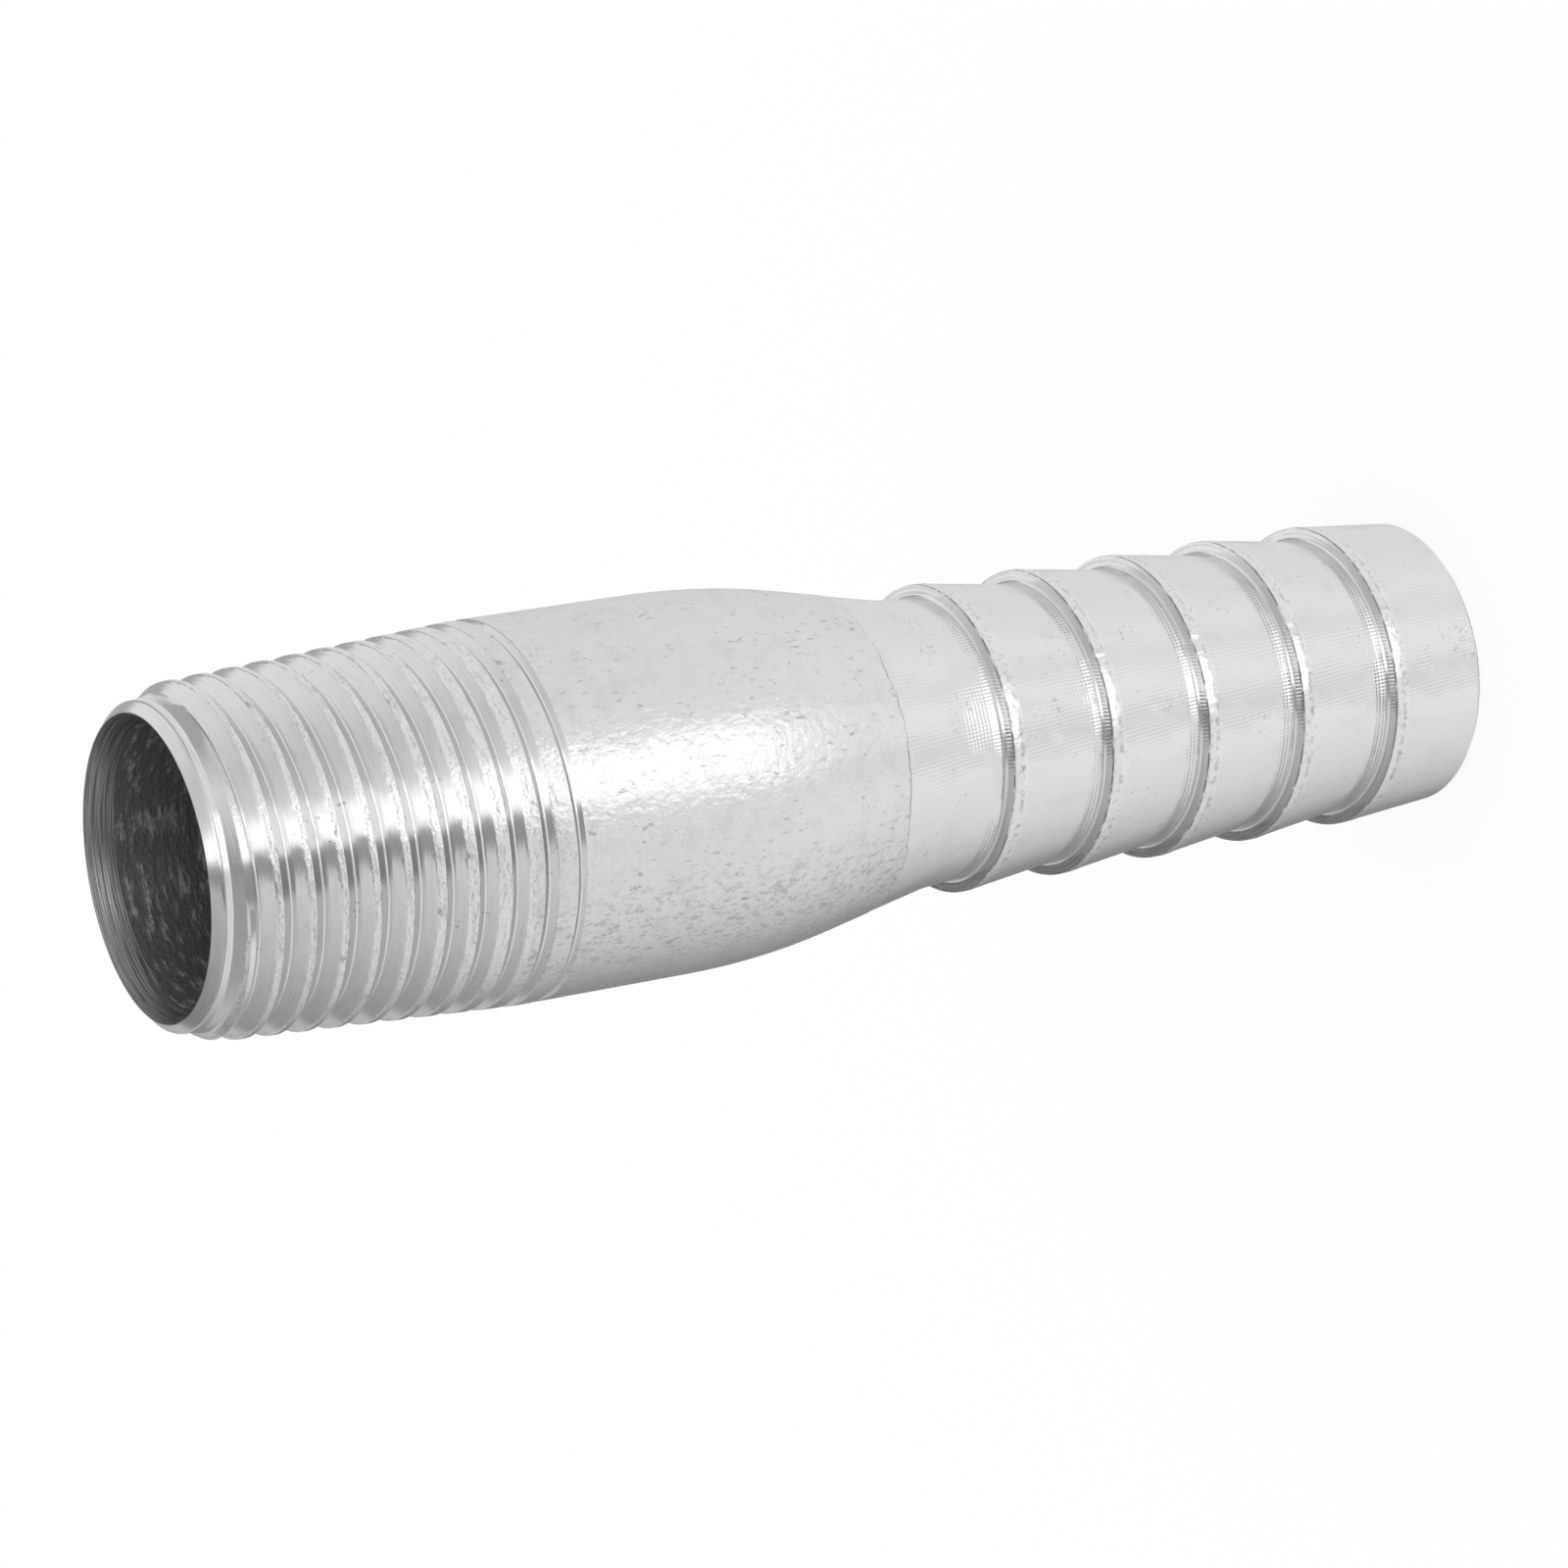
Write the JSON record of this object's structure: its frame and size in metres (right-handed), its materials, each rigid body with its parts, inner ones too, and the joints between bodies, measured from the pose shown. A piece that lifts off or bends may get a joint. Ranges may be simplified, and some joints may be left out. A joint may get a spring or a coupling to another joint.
{
  "type": "hose barb adapter",
  "caption": "Straight steel adapter from a male taper pipe thread, through a swage, to a turned hose shank with stepped barbs, open right through.",
  "frame": {"origin": "centre of the hose end's face, on the axis", "axes": "+Z along the axis, from the hose end up to the threaded mouth"},
  "size_m": [0.0214, 0.0214, 0.0813],
  "materials": {
    "zinc_plated_steel": "zinc plate over rough pipe skin at the body and swage, over fine turning marks at the thread, neck and barbs"
  },
  "bodies": {
    "root": {"hose_nipple": "zinc_plated_steel"}
  },
  "joints": []
}
